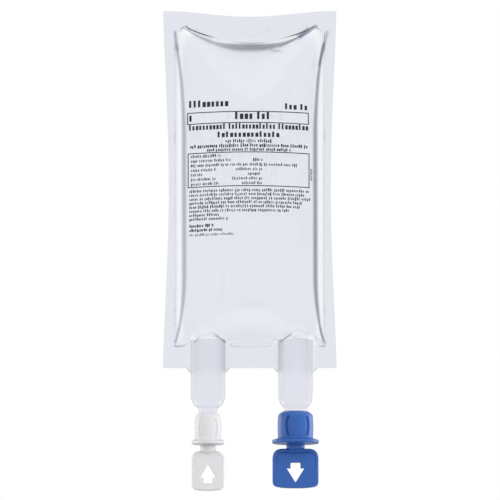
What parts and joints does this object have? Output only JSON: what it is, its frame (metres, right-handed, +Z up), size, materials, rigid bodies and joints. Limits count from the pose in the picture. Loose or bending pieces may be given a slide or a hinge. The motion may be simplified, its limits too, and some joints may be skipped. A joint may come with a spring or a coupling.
{
  "type": "iv fluid bag",
  "caption": "Clear welded film pouch of infusion solution with a hanger cut in its top weld, and an injection and an infusion port below, each closed by a break-off cap.",
  "frame": {"origin": "middle of the hanger cut in the top weld, half way between the two film sheets", "axes": "+Z up along the hanging bag, +X towards the infusion port, -Y towards the printed front"},
  "size_m": [0.0802, 0.0216, 0.2228],
  "materials": {
    "clear_film": "clear glossy film with a faint haze",
    "solution": "clear colourless liquid",
    "clear_plastic": "clear moulded plastic, slightly hazy",
    "septum_rubber": "pale yellowish rubber",
    "white_plastic": "satin translucent white moulding",
    "blue_plastic": "satin blue moulding"
  },
  "bodies": {
    "root": {"front_film": "clear_film", "back_film": "clear_film", "saline_fill": "solution", "injection_port_tube": "clear_plastic", "infusion_port_tube": "clear_plastic", "injection_septum": "septum_rubber", "infusion_septum": "septum_rubber", "injection_cap": "white_plastic", "infusion_cap": "blue_plastic"}
  },
  "joints": []
}
